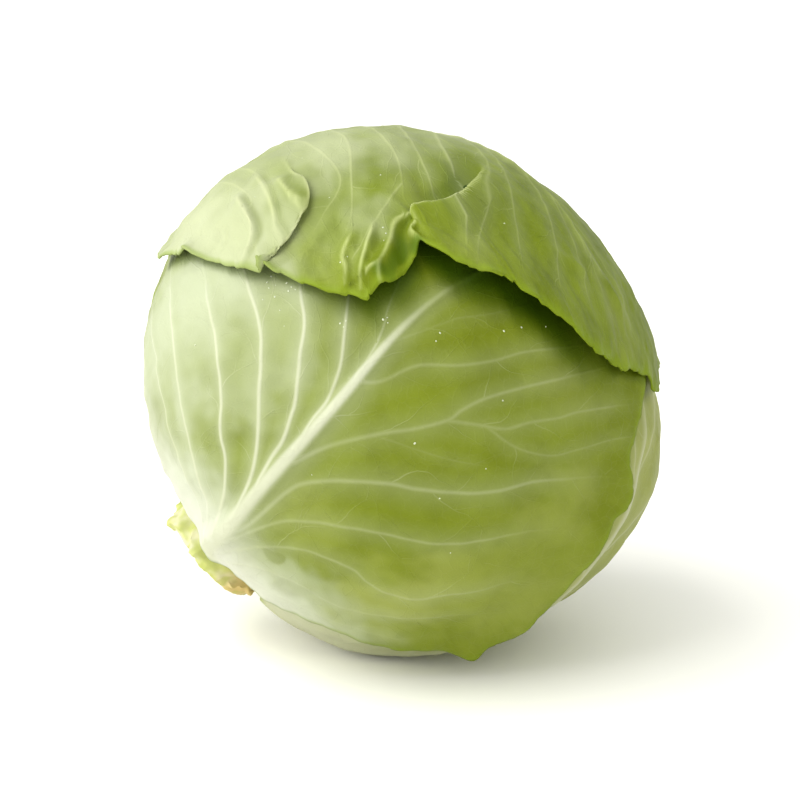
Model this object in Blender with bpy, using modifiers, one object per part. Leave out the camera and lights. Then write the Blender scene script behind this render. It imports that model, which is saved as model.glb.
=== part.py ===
# Cabbage head lying on its side: a stem butt with broken leaf stalks, a packed
# heart, and four large wrapper leaves that overlap round it.
# The row frame has its origin in the middle of the flat resting spot, +Z up.
# The stem butt points down to -X, and the open front leaf faces -Y.
import math

import bmesh
import bpy
import numpy as np
from mathutils import Vector

# Head size, in metres
EQUATOR_RADIUS = 0.088
POLE_RADIUS = 0.080
CENTRE_HEIGHT = 0.0812
LEAF_THICKNESS = 0.0008
LAYER_STEP = 0.0021
HEART_DEPTH = 0.0088
STEM_RADIUS = 0.0184
STEM_FACE = 0.0834
STEM_ROOT = 0.0560
STALK_COUNT = 8

# Angle of the stem axis below the horizontal
STEM_DIP = math.radians(42.0)

# Directions of the stem, of the front and of the top side of the head
STEM_WAY = np.array([-math.cos(STEM_DIP), 0.0, -math.sin(STEM_DIP)])
FRONT_WAY = np.array([0.0, -1.0, 0.0])
TOP_WAY = np.array([-math.sin(STEM_DIP), 0.0, math.cos(STEM_DIP)])

# Low swellings of the whole head: angle from the stem, angle round it, width, height
SWELLINGS = [
    (34.0, -80.0, 30.0, 0.0044),
    (120.0, -80.0, 24.0, 0.0054),
    (0.0, 0.0, 20.0, -0.0032),
]

# Each leaf: where its middle lies, how many layers deep it is, its floor gap, cells a
# side, its outline as (angle, reach) pairs in degrees, and its margin lifts as
# (angle, half width, inward reach, height).
LEAVES = {
    "top_leaf": {
        "middle": (100.0, 130.0),
        "layer": 0,
        "floor": 0.0040,
        "cells": 36,
        "outline": [
            (-165, 66), (-150, 46), (-137, 37), (-126, 40), (-119, 50.5), (-114, 59), (-110, 62),
            (-105, 64.5), (-100, 69),
            (-92, 78), (-88, 81), (-81, 89.5), (-73, 97), (-67, 98), (-62.5, 95), (-59.5, 92),
            (-56.5, 88.5), (-52, 96.5),
            (-43, 104), (-40, 108), (-31, 114), (-27, 117), (-20, 119), (-13, 119.5), (-6, 119.5),
            (0, 118.5), (4, 119.5), (8, 120.5), (13, 117), (25, 107), (40, 98), (55, 87), (75, 77),
            (95, 72), (115, 70),
            (135, 72), (155, 77), (180, 80),
        ],
        "lifts": [
            (-36, 19, 24, 0.0068), (-52, 9, 20, 0.0036), (-104, 6, 9, 0.0028),
            (-87, 5, 10, 0.0025), (-70, 12, 14, 0.0030), (70, 60, 16, 0.0022),
            (118, 10, 14, 0.0030), (19, 10, 13, -0.0030),
        ],
        "rib": (0.0016, 0.0004),
        "sway": 2.0,
    },
    "front_leaf": {
        "middle": (95.0, 18.0),
        "layer": 1,
        "floor": 0.0012,
        "cells": 30,
        "outline": [
            (-170, 73), (-164, 71.5), (-158, 70), (-150, 67.5), (-140, 66.5), (-131, 69), (-123, 70.5),
            (-118, 73), (-114, 76), (-111, 76.5), (-108, 75), (-104, 75.5), (-100, 75), (-96, 73),
            (-91, 71.5), (-85, 70), (-77, 70), (-70, 69),
            (-64, 71), (-57, 66.5), (-51, 67.5), (-44, 71), (-37, 74), (-22, 77), (0, 80), (30, 84),
            (60, 90), (90, 95), (115, 95), (135, 90), (150, 83), (163, 76), (172, 77), (180, 77),
        ],
        "lifts": [
            (-58, 14, 14, 0.0022), (-80, 14, 12, 0.0028), (-104, 14, 14, 0.0036),
            (-113, 5, 8, 0.0016),
            (-130, 14, 12, 0.0020), (-38, 6, 10, 0.0015),
        ],
        "rib": (0.0034, 0.0003),
        "sway": 4.2,
    },
    "side_leaf": {
        "middle": (100.0, -60.0),
        "layer": 2,
        "floor": 0.0,
        "cells": 24,
        "outline": [
            (-165, 82), (-150, 78), (-135, 71), (-118, 63), (-100, 59), (-84, 62), (-70, 60),
            (-52, 64), (-35, 70), (-15, 78), (10, 80), (35, 68), (60, 54), (85, 48), (108, 52),
            (125, 66), (140, 80), (152, 84), (165, 83), (180, 83),
        ],
        "lifts": [
            (-90, 20, 14, 0.0024), (-66, 10, 12, 0.0034), (-45, 12, 10, 0.0016),
        ],
        "rib": (0.0018, 0.0003),
        "sway": -3.0,
    },
    "back_leaf": {
        "middle": (95.0, -150.0),
        "layer": 3,
        "floor": 0.0024,
        "cells": 20,
        "outline": [
            (-165, 79), (-145, 77), (-120, 68), (-90, 60), (-60, 62), (-30, 70), (0, 74),
            (30, 72), (60, 64), (90, 58), (120, 64), (145, 76), (165, 79), (180, 79),
        ],
        "lifts": [],
        "rib": (0.0008, 0.0003),
        "sway": 3.0,
    },
}

# Folds of the top leaf: line in leaf degrees from the crown to the margin, where the
# swelling lies beside it and how wide it is, in degrees, and its height
FOLDS = [
    ([(-24, 54), (-41, 59.5), (-57, 56.5), (-66, 48.5), (-74, 43), (-86, 42)], -4.0, 7.0, 0.0024),
    ([(-62, 50), (-69, 43.5), (-78, 38.5), (-85, 34), (-89, 29)], 1.5, 5.5, 0.0042),
    ([(-38, 11.5), (-56, 15.5), (-64, 19), (-71, 17), (-78, 8), (-84, -3)], 3.0, 5.5, 0.0022),
]

COLOURS = {
    "top_leaf": (0.35, 0.43, 0.09),
    "front_leaf": (0.47, 0.53, 0.14),
    "side_leaf": (0.55, 0.58, 0.24),
    "back_leaf": (0.58, 0.62, 0.30),
    "heart": (0.72, 0.72, 0.42),
    "stem": (0.66, 0.60, 0.28),
}


def clear_scene():
    for item in list(bpy.data.objects):
        bpy.data.objects.remove(item, do_unlink=True)


def way_at(from_stem, around):
    """Unit direction in head axes for two angles in degrees."""
    a = math.radians(from_stem)
    b = math.radians(around)
    return np.array([math.cos(a), math.sin(a) * math.cos(b), math.sin(a) * math.sin(b)])


def head_radius(way):
    """Radius of the outermost layer along a unit direction in head axes."""
    pole = way[0] / POLE_RADIUS
    side_a = way[1] / EQUATOR_RADIUS
    side_b = way[2] / EQUATOR_RADIUS
    radius = 1.0 / math.sqrt(pole * pole + side_a * side_a + side_b * side_b)
    for from_stem, around, width, height in SWELLINGS:
        cosine = float(np.dot(way, way_at(from_stem, around)))
        gap = math.degrees(math.acos(max(-1.0, min(1.0, cosine))))
        radius += height * math.exp(-((gap / width) ** 2))
    return radius


def to_row(way, radius):
    """Point in the row frame at a radius along a direction in head axes."""
    spot = (way[0] * STEM_WAY + way[1] * FRONT_WAY + way[2] * TOP_WAY) * radius
    return np.array([spot[0], spot[1], spot[2] + CENTRE_HEIGHT])


def above_floor(spot, floor, blend=0.0030):
    """Press a point softly on to a level, so that the lowest area is flat."""
    rise = spot[2] - floor
    if rise < -blend:
        spot[2] = floor
    elif rise < blend:
        spot[2] = floor + (rise + blend) ** 2 / (4.0 * blend)
    return spot


def smooth_step(value):
    t = max(0.0, min(1.0, value))
    return t * t * (3.0 - 2.0 * t)


def angle_between(a, b):
    return (a - b + 180.0) % 360.0 - 180.0


def outline_reach(outline, angle):
    """Smooth closed curve through the outline's (angle, reach) pairs."""
    count = len(outline)
    for i in range(count):
        a1, r1 = outline[i]
        a2, r2 = outline[(i + 1) % count]
        span = (a2 - a1) % 360.0
        along = (angle - a1) % 360.0
        if along <= span:
            a0, r0 = outline[i - 1]
            a3, r3 = outline[(i + 2) % count]
            before = (a1 - a0) % 360.0
            after = (a3 - a2) % 360.0
            slope1 = (r2 - r0) / (span + before)
            slope2 = (r3 - r1) / (span + after)
            t = along / span
            h1 = 2 * t ** 3 - 3 * t ** 2 + 1
            h2 = t ** 3 - 2 * t ** 2 + t
            h3 = 3 * t ** 2 - 2 * t ** 3
            h4 = t ** 3 - t ** 2
            return h1 * r1 + h2 * span * slope1 + h3 * r2 + h4 * span * slope2
    return outline[0][1]


def disc_from_square(x, y):
    """Move a point of the square grid on to the round disc."""
    if x == 0.0 and y == 0.0:
        return 0.0, 0.0
    if abs(x) > abs(y):
        radius = x
        turn = (math.pi / 4.0) * (y / x)
    else:
        radius = y
        turn = math.pi / 2.0 - (math.pi / 4.0) * (x / y)
    return radius * math.cos(turn), radius * math.sin(turn)


def line_offset(line, x, y):
    """Signed distance from a line of points and how far along it, 0 to 1."""
    best = None
    total = len(line) - 1
    for i in range(total):
        ax, ay = line[i]
        bx, by = line[i + 1]
        dx, dy = bx - ax, by - ay
        t = ((x - ax) * dx + (y - ay) * dy) / (dx * dx + dy * dy)
        t = max(0.0, min(1.0, t))
        px, py = x - ax - t * dx, y - ay - t * dy
        gap = math.hypot(px, py)
        side = dx * py - dy * px
        if best is None or gap < best[0]:
            best = (gap, math.copysign(gap, side), (i + t) / total)
    return best[1], best[2]


def leaf_point(leaf, name, x, y):
    """Point of a leaf's outer face for a point of its disc."""
    radius = math.hypot(x, y)
    angle = math.degrees(math.atan2(x, y))
    edge = outline_reach(leaf["outline"], angle)
    reach = radius * edge
    side = reach * math.sin(math.radians(angle))
    along = reach * math.cos(math.radians(angle))
    from_stem, around = leaf["middle"]
    a, b = math.radians(from_stem), math.radians(around)
    middle = way_at(from_stem, around)
    tip_way = np.array([-math.sin(a), math.cos(a) * math.cos(b), math.cos(a) * math.sin(b)])
    side_way = np.array([0.0, -math.sin(b), math.cos(b)])
    turn = math.radians(angle)
    out = math.sin(turn) * side_way + math.cos(turn) * tip_way
    way = math.cos(math.radians(reach)) * middle + math.sin(math.radians(reach)) * out

    height = -leaf["layer"] * LAYER_STEP
    for lift_angle, half_width, inward, lift in leaf["lifts"]:
        turn_part = math.exp(-((angle_between(angle, lift_angle) / half_width) ** 2))
        height += lift * turn_part * smooth_step((reach - edge + inward) / inward) ** 1.5

    root_height, tip_height = leaf["rib"]
    base = leaf["middle"][0]
    toward_root = smooth_step((-along + 25.0) / (base + 5.0))
    rib_width = 3.0 + 5.0 * toward_root
    rib = tip_height + (root_height - tip_height) * toward_root
    sway = leaf["sway"] * math.sin(math.radians(along * 2.0))
    height += rib * math.exp(-(((side - sway) / rib_width) ** 2))

    if name == "top_leaf":
        for line, beside, width, rise in FOLDS:
            gap, share = line_offset(line, side, along)
            swell = math.exp(-(((gap - beside) / width) ** 2))
            height += rise * swell * smooth_step(share * 1.6)
    spot = to_row(way, head_radius(way) + height)
    if leaf["floor"] > 0.0:
        spot = above_floor(spot, leaf["floor"])
    return spot


def material_for(name):
    material = bpy.data.materials.new(name)
    material.use_nodes = True
    shader = material.node_tree.nodes["Principled BSDF"]
    red, green, blue = COLOURS[name]
    shader.inputs["Base Color"].default_value = (red, green, blue, 1.0)
    shader.inputs["Roughness"].default_value = 0.45
    material.diffuse_color = (red, green, blue, 1.0)
    return material


def finish_object(bm, name, collection):
    mesh = bpy.data.meshes.new(name)
    bm.to_mesh(mesh)
    bm.free()
    thing = bpy.data.objects.new(name, mesh)
    collection.objects.link(thing)
    return thing


def apply_modifiers(thing):
    graph = bpy.context.evaluated_depsgraph_get()
    done = bpy.data.meshes.new_from_object(thing.evaluated_get(graph))
    thing.modifiers.clear()
    old = thing.data
    thing.data = done
    done.name = thing.name
    bpy.data.meshes.remove(old)


def press_foot(bm):
    """Cut the sheet along the floor and lay what is below flat on it, as a round foot."""
    bmesh.ops.bisect_plane(
        bm, geom=bm.verts[:] + bm.edges[:] + bm.faces[:], dist=0.0001,
        plane_co=(0.0, 0.0, 0.0), plane_no=(0.0, 0.0, 1.0))
    for vertex in bm.verts:
        if vertex.co.z < 0.0003:
            vertex.co.z = 0.0


def make_leaf(name, collection):
    leaf = LEAVES[name]
    bm = bmesh.new()
    cells = leaf["cells"]
    bmesh.ops.create_grid(bm, x_segments=cells, y_segments=cells, size=1.0)
    for vertex in bm.verts:
        x, y = disc_from_square(vertex.co.x, vertex.co.y)
        vertex.co = Vector(leaf_point(leaf, name, x, y))
    if leaf["floor"] == 0.0:
        press_foot(bm)
    bmesh.ops.triangulate(bm, faces=bm.faces[:], quad_method="SHORT_EDGE")
    centre = Vector((0.0, 0.0, CENTRE_HEIGHT))
    first = bm.faces[:][0]
    if first.normal.dot(first.calc_center_median() - centre) < 0.0:
        bmesh.ops.reverse_faces(bm, faces=bm.faces[:])
    thing = finish_object(bm, name, collection)
    shell = thing.modifiers.new("thickness", "SOLIDIFY")
    shell.thickness = LEAF_THICKNESS
    shell.offset = -1.0
    shell.use_even_offset = True
    apply_modifiers(thing)
    thing.data.materials.append(material_for(name))
    return thing


def make_heart(collection):
    """Packed inner leaves: a dense core with the edges of its outer leaves standing out."""
    bm = bmesh.new()
    bmesh.ops.create_icosphere(bm, subdivisions=4, radius=1.0)
    for vertex in bm.verts:
        way = np.array(vertex.co.normalized()[:])
        from_stem = math.degrees(math.acos(max(-1.0, min(1.0, way[0]))))
        around = math.degrees(math.atan2(way[2], way[1]))
        spiral = (around + 0.9 * from_stem) % 120.0
        step = 0.0014 * smooth_step(spiral / 96.0) * (1.0 - smooth_step((spiral - 96.0) / 24.0))
        fade = smooth_step((from_stem - 20.0) / 30.0) * smooth_step((172.0 - from_stem) / 30.0)
        hollow = 0.0240 * (1.0 - smooth_step((from_stem - 8.0) / 16.0))
        radius = head_radius(way) - HEART_DEPTH - 0.0016 + step * fade - hollow
        vertex.co = Vector(above_floor(to_row(way, radius), 0.0052))
    thing = finish_object(bm, "heart", collection)
    thing.data.materials.append(material_for("heart"))
    return thing


def make_stem(collection):
    """Stem butt with its cut face and the broken stalks of removed leaves."""
    bm = bmesh.new()
    bmesh.ops.create_cone(
        bm, cap_ends=True, segments=28, radius1=1.0, radius2=1.0, depth=1.0)
    lift = [edge for edge in bm.edges if abs(edge.verts[0].co.z - edge.verts[1].co.z) > 0.5]
    bmesh.ops.subdivide_edges(bm, edges=lift, cuts=3)
    centre = Vector((0.0, 0.0, CENTRE_HEIGHT))
    for vertex in bm.verts:
        share = vertex.co.z + 0.5
        around = math.atan2(vertex.co.y, vertex.co.x)
        lump = 1.0 + 0.05 * math.cos(3.0 * around + 0.6) + 0.03 * math.cos(5.0 * around)
        girth = STEM_RADIUS * lump * (0.62 + 0.38 * smooth_step(share * 1.6))
        if share > 0.9:
            girth *= 0.93
        depth = STEM_ROOT + (STEM_FACE - STEM_ROOT) * share
        if share > 0.9:
            depth += 0.0008 * math.cos(2.0 * around + 0.5)
        spot = depth * STEM_WAY + girth * (
            math.cos(around) * FRONT_WAY + math.sin(around) * TOP_WAY)
        vertex.co = Vector(spot) + centre
    bmesh.ops.recalc_face_normals(bm, faces=bm.faces[:])
    butt = finish_object(bm, "stem", collection)

    stalks = bpy.data.collections.new("stalks")
    bpy.context.scene.collection.children.link(stalks)
    for i in range(STALK_COUNT):
        around = math.radians(20.0 + i * 360.0 / STALK_COUNT + 7.0 * math.sin(i * 2.4))
        out = math.cos(around) * FRONT_WAY + math.sin(around) * TOP_WAY
        cross = -math.sin(around) * FRONT_WAY + math.cos(around) * TOP_WAY
        length = 0.0062 + 0.0024 * math.sin(i * 1.7 + 0.4)
        half = 0.0066 + 0.0012 * math.cos(i * 2.1)
        chip = bmesh.new()
        bmesh.ops.create_cube(chip, size=2.0)
        bmesh.ops.subdivide_edges(chip, edges=chip.edges[:], cuts=1, use_grid_fill=True)
        for vertex in chip.verts:
            x, y, z = vertex.co
            sideways = half * x * (1.0 - 0.18 * max(z, 0.0))
            ragged = 0.0010 * math.sin(3.0 * x + i) * max(z, 0.0)
            depth = STEM_FACE - 0.0090 + length * 0.5 * (z + 1.0) + ragged
            reach = STEM_RADIUS - 0.0020 + 0.0021 * y + 0.0016 * max(z, 0.0)
            reach -= 0.0016 * x * x
            spot = depth * STEM_WAY + reach * out + sideways * cross
            vertex.co = Vector(spot) + centre
        bmesh.ops.recalc_face_normals(chip, faces=chip.faces[:])
        bmesh.ops.triangulate(chip, faces=chip.faces[:])
        finish_object(chip, "stalk_%d" % i, stalks)

    join = butt.modifiers.new("join", "BOOLEAN")
    join.operation = "UNION"
    join.operand_type = "COLLECTION"
    join.collection = stalks
    join.solver = "EXACT"
    apply_modifiers(butt)
    for item in list(stalks.objects):
        bpy.data.objects.remove(item, do_unlink=True)
    bpy.data.collections.remove(stalks)
    butt.data.materials.clear()
    butt.data.materials.append(material_for("stem"))
    return butt


def build():
    clear_scene()
    collection = bpy.data.collections.new("cabbage_head")
    bpy.context.scene.collection.children.link(collection)
    make_heart(collection)
    make_stem(collection)
    for name in LEAVES:
        make_leaf(name, collection)


build()
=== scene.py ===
import math
import random

import bmesh
import bpy
import numpy as np
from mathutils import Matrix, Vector


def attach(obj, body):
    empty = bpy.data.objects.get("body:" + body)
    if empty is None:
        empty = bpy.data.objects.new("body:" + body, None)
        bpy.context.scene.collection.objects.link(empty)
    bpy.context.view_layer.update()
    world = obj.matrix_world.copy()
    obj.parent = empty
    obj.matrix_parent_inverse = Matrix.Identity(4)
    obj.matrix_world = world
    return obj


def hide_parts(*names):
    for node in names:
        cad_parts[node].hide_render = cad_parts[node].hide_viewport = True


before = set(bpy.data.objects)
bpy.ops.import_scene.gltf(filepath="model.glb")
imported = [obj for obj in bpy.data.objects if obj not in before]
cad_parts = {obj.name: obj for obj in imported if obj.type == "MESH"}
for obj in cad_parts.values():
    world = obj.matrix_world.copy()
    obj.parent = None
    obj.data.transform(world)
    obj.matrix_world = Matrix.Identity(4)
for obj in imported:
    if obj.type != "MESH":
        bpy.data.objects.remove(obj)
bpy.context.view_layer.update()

# Head size and pose, as in the solids, and the few numbers that belong to looks alone
EQUATOR_RADIUS = 0.088
POLE_RADIUS = 0.080
CENTRE_HEIGHT = 0.0812
LEAF_THICKNESS = 0.0008
LAYER_STEP = 0.0021
STEM_RADIUS = 0.0184
STEM_FACE = 0.0834
STEM_ROOT = 0.0560
STALK_COUNT = 8
TRANSLUCENT = 0.20
DEW_RADIUS = 0.00060
STEM_VOXEL = 0.00055
CHUNK = 20000
VIEW_WIDTH = 0.256
FLOOR_BLEND = 0.0030
STEM_DIP = math.radians(42.0)
STEM_WAY = np.array([-math.cos(STEM_DIP), 0.0, -math.sin(STEM_DIP)])
FRONT_WAY = np.array([0.0, -1.0, 0.0])
TOP_WAY = np.array([-math.sin(STEM_DIP), 0.0, math.cos(STEM_DIP)])
MM_PER_DEGREE = 1.48

SWELLINGS = [
    (34.0, -80.0, 30.0, 0.0044),
    (120.0, -80.0, 24.0, 0.0054),
    (0.0, 0.0, 20.0, -0.0032),
]

# Each leaf: where its middle lies (degrees from the stem, and around it), how many layers
# down it is, the least height over the floor, cells of its grid, its outline (angle from
# the tip, reach), places where the margin lifts (angle, half width, inward, height), and how
# strong the teeth of its margin are.
LEAVES = {
    "top_leaf": {
        "middle": (100.0, 130.0),
        "layer": 0,
        "floor": 0.0040,
        "cells": 250,
        "outline": """
            -165,66 -150,46 -137,37 -126,40 -122,47 -119,53 -117,55.8 -114,57 -110,58.8 -106.4,61.6
            -104,64.2 -100,69 -92,78 -88,81 -81,89.5 -73,97 -69,96.6 -65,96.2 -62,93.8 -60,92 -58.4,90.3
            -57.2,92.5 -55.7,95 -54,97 -51.5,99.2 -48.5,100.8 -45.5,102 -43,104 -40,107.6 -31,114 -27,117
            -20,119 -13,119.5 -6,119.5 0,118.5 4,119.5 8,120.5 13,117 25,107 40,98 55,87 75,77 95,72 115,70
            135,72 155,77 180,80""",
        "lifts": """
            -36,19,24,0.0068 -52,9,20,0.0036 -104,6,9,0.0016 -118,5.5,8,0.0024 -87,5,10,0.0025
            -70,12,14,0.003 70,60,16,0.0022 118,10,14,0.003 19,10,13,-0.003""",
        "teeth": 1.0,
    },
    "front_leaf": {
        "middle": (95.0, 18.0),
        "layer": 1,
        "floor": 0.0012,
        "cells": 250,
        "outline": """
            -170,73 -164,71.5 -158,70 -150,67.5 -140,66.5 -131,69 -123,70.5 -118,73 -114,75.2 -111,75.4
            -108,74.6 -104,75.5 -100,75 -96,73 -91,71.5 -85,70 -77,70 -70,69 -64,71 -57,66.5 -51,67.5 -44,71
            -37,74 -22,77 0,80 30,84 60,90 90,95 115,95 135,90 150,83 163,76 172,77 180,77""",
        "lifts": """
            -58,14,14,0.0022 -80,14,12,0.0028 -104,14,14,0.0036 -113,5,8,0.0016 -130,14,12,0.002
            -38,6,10,0.0015""",
        "teeth": 0.5,
    },
    "side_leaf": {
        "middle": (100.0, -60.0),
        "layer": 2,
        "floor": 0.0,
        "cells": 190,
        "outline": """
            -165,82 -150,78 -135,71 -118,63 -100,59 -84,62 -70,60 -52,64 -35,70 -15,78 10,80 35,68 60,54
            85,48 108,52 125,66 140,80 152,84 165,83 180,83""",
        "lifts": """
            -90,20,14,0.0024 -66,10,12,0.0034 -45,12,10,0.0016""",
        "teeth": 0.6,
    },
    "back_leaf": {
        "middle": (95.0, -150.0),
        "layer": 3,
        "floor": 0.0024,
        "cells": 150,
        "outline": """
            -165,79 -145,77 -120,68 -90,60 -60,62 -30,70 0,74 30,72 60,64 90,58 120,64 145,76 165,79 180,79""",
        "lifts": "",
        "teeth": 0.3,
    },
}

# Main veins. Each has its width at the root and at the end in millimetres, its strength,
# and its points in leaf degrees: sideways, then toward the tip. The first is the midrib.
VEINS = {
    "front_leaf": """
      9.2 1.3 1: -4,-77 -3,-66 -4,-52 -4,-43 -3,-25 -1.4,-8 1,6 2.4,15 3,27 2,45;
      1.9 1 0.9: -1,-66 3.5,-51.6 9,-47 20,-40 26,-36 34,-31 50,-25 66,-20;
      1.7 0.9 0.8: -1,-70 5,-57 16,-50 32,-43 50,-37 70,-33;
      2 1.2 1: -2,-56 2,-43.5 7,-35 12,-31 17,-26 24,-20.5 32,-17 38,-15 50,-11;
      2 1.2 1: -3,-45 0,-33 3,-27 7,-22 11,-18 18,-11.5 24,-8 35,-4.5 50,2;
      1.9 1.1 1: -2.5,-34 0,-25 1,-20 3.5,-15 5.5,-12 11,-6 16,-1 23,3 36,12;
      1.7 0.9 0.9: -2,-19 0,-12 1,-7 4.3,-1 9,4 15,9.5 27,20;
      1.3 0.7 0.6: 0.5,0 3,7 5.6,11.5 8.3,15 16,28;
      1.3 0.8 0.26: 1.5,10 -1.6,19.6 -3,24 -7,32 -12,46;
      1.9 1.1 0.42: -1.5,-9 1,-2.3 -3,3.3 -5.3,11 -10.6,17.6 -14.4,24 -17.4,31 -22.6,40 -30,54;
      2.2 1.2 0.47: -3,-24 -6,-13 -10.8,-3.4 -14.4,2.3 -17.5,8.7 -17.8,12 -19.3,17.6 -23.5,26.6 -29.3,38
        -36,52;
      1.8 1 0.42: -17,8 -22.4,12.7 -26.8,16.5 -29.6,21.8 -33.8,28 -37,34 -50,53;
      1.4 0.8 0.36: -24,13.8 -30.8,15.5 -35.8,18.4 -39.7,22 -44.7,30 -50,39 -56,47;
      1.1 0.6 0.26: -9.5,-5 -13.6,-2.5 -18,0 -24.8,4.4 -32.7,10.4;
      2.6 1.2 0.52: -4,-52 -6.3,-44 -6.8,-37.6 -7.2,-27 -8.6,-22 -13.2,-15.4 -19.5,-8.8 -24.2,-5.3 -31,1 -36,7
        -40,13.6 -45,19.4 -52,27 -60,34;
      2.1 1.1 0.47: -5,-56 -10.2,-35.6 -14.7,-28.5 -18.7,-24.3 -24.7,-19 -33,-13 -39,-7.7 -42.7,-3 -46.6,3
        -53,10 -60,15;
      2.2 1.1 0.47: -5,-65 -12,-45.4 -17.7,-36.4 -23.2,-32.4 -29,-29.5 -33.7,-29.4 -39.2,-28 -45.2,-23.8
        -47.3,-20.5 -52,-14 -57.6,-5.2 -68,1;
      2 1 0.42: -6,-70 -10.3,-61.7 -15.8,-52.6 -24,-45.5 -32,-43 -42,-37.5 -50,-29 -56,-22 -66,-12;
      1.6 0.8 0.31: -8,-70 -20,-60 -34,-51 -48.6,-41.5 -56,-35 -61,-27""",
    "top_leaf": """
      8 1.2 1: 0,-80 2,-60 3,-40 2,-20 -2,0 -6,20 -11,45 -16,70 -20,95;
      1.8 0.9 0.5: 0,-66 -14,-50 -30,-36 -44,-26 -56,-20;
      1.9 0.9 0.56: 1,-54 -16,-36 -34,-20 -50,-12 -62,-9;
      1.9 0.9 0.56: 2,-42 -14,-25 -34,-10 -57,3 -66,3.4 -73,4.2 -79,0;
      1.8 0.8 0.56: -22,-18 -38,-2 -54,7 -66.5,10 -78,10.8 -84,12;
      2 0.8 0.56: 2,-26 -14,-8 -30,8 -46,20 -60.7,27 -71,22.3 -81,15 -86,12;
      2 0.9 0.62: 0,-12 -14,6 -28,18 -43.4,26.8 -59,29.6 -72.5,29.5 -80,25 -86,21.5;
      1.9 0.9 0.62: -4,8 -16,20 -28,28 -38.5,34 -49.4,40 -61,42.7 -69,43.7;
      1.3 0.7 0.5: -60,42.5 -70,38 -78,33 -84,28 -90,26;
      1.8 0.9 0.56: -8,24 -20,32 -36.8,40.5 -47.7,46 -56,50 -62.5,52.3 -70,54;
      2.2 1 0.62: -10,36 -22,42 -34.3,47.7 -43,52.7 -52,57.3 -64,60 -80,60;
      1.6 0.8 0.43: -12,46 -22,54 -35,62 -51.7,64.7 -68.5,63.6 -84,62;
      1.6 0.8 0.43: -13,52 -22,59 -32,65 -44.7,71.3 -55,75.4 -70,78;
      1.6 0.8 0.43: -15,64 -22,72 -32,80 -44,87 -60,92;
      1.5 0.7 0.43: -16,72 -24,84 -33,94 -44,104;
      1.4 0.7 0.37: -18,84 -23,96 -28,112;
      2 0.9 0.56: 1,-60 16,-46 34,-36 52,-28 70,-24;
      2 0.9 0.56: 2,-44 18,-28 36,-14 54,-6 74,-2;
      2 0.9 0.56: 2,-24 16,-6 34,8 52,16 72,22;
      1.9 0.9 0.56: -1,-4 12,14 28,28 46,38 66,44;
      1.8 0.9 0.5: -5,16 8,34 24,50 42,62 56,70;
      1.7 0.8 0.5: -8,34 4,54 18,72 34,86 44,92;
      1.5 0.7 0.43: -12,54 -4,72 6,90 18,104;
      1.4 0.7 0.37: -16,72 -12,90 -6,108 -4,118""",
    "side_leaf": """
      8 1.4 1: 0,-83 -1,-60 -3,-40 -3,-15 0,10 2,40 2,70;
      2 0.9 0.9: -1,-70 -14,-56 -30,-46 -48,-38 -62,-34;
      2 0.9 0.9: -2,-54 -16,-38 -32,-26 -50,-18 -60,-14;
      2 0.9 0.9: -3,-36 -16,-20 -32,-8 -48,0 -60,6;
      1.9 0.9 0.8: -3,-18 -14,-2 -28,10 -44,20 -58,28;
      1.8 0.8 0.8: -1,2 -12,18 -26,32 -42,46;
      1.6 0.8 0.7: 0,20 -8,38 -18,54 -30,68;
      2 0.9 0.9: -1,-66 12,-52 28,-44 44,-40 60,-40;
      2 0.9 0.9: -2,-48 12,-32 28,-22 46,-16;
      1.9 0.9 0.8: -3,-26 10,-12 26,0 46,6;
      1.8 0.8 0.8: -1,-4 12,12 26,24 42,34;
      1.6 0.8 0.7: 1,18 12,36 24,50 34,60""",
    "back_leaf": """
      8 1.3 1: 0,-78 2,-56 3,-30 2,0 0,30 -1,64;
      1.9 0.9 0.9: 1,-62 16,-48 32,-40 50,-34;
      1.9 0.9 0.9: 3,-42 18,-26 36,-16 54,-10;
      1.8 0.8 0.8: 3,-20 16,-4 32,8 52,16;
      1.7 0.8 0.8: 2,2 14,20 30,32 48,42;
      1.9 0.9 0.9: 1,-62 -14,-48 -30,-38 -50,-32;
      1.9 0.9 0.9: 3,-40 -12,-24 -30,-14 -50,-6;
      1.8 0.8 0.8: 3,-18 -12,-2 -30,8 -48,16;
      1.7 0.8 0.8: 1,4 -12,20 -28,32 -44,42""",
}

# Small curled places on the margins: angle, half width, inward reach, height
CURLS = {
    "top_leaf": """
      -103.8,2,5,0.0032 -87,1.6,4.5,0.0034 -72,1.5,3,0.0012 -48,2,4,0.0016 -40.5,1.6,3.5,0.0014
      -17,2.4,5,-0.0016""",
    "front_leaf": """
      -112.5,2.6,5,0.0021""",
    "side_leaf": """
      -70,4,6,0.0018""",
}

# Which side of its line the bright core of a midrib lies to: the side toward the key light, where that bright core
# is partly painted highlight; the other flank of the midrib gets painted shade.
RIB_SIDE = -1.0

# Folds of the top leaf where one part lies over the other: half width, overlap, drop of
# the lower part, rise of the upper part (mm), the upper side, how fast the fold opens
# toward the margin, where along the line the overlap ends, and the line's points.
PLEATS = """
    7 5.4 3.6 1.8 1 2.5 0.8: -24,54 -31,57.4 -40.8,59.6 -46.3,59.7 -52.1,58.8 -57.6,56.4 -62.5,52.7 -66,48.4
        -69.5,45.6 -74,46.5 -84,50;
    5.2 3.4 0.8 1.2 -1 1.7 2: -36,11.5 -47,12.8 -55.9,15.3 -59.6,18.1 -63.6,19 -66.8,18.8 -70.1,17.5 -75.7,11.5
        -79.9,4.7 -84,-3"""

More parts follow.
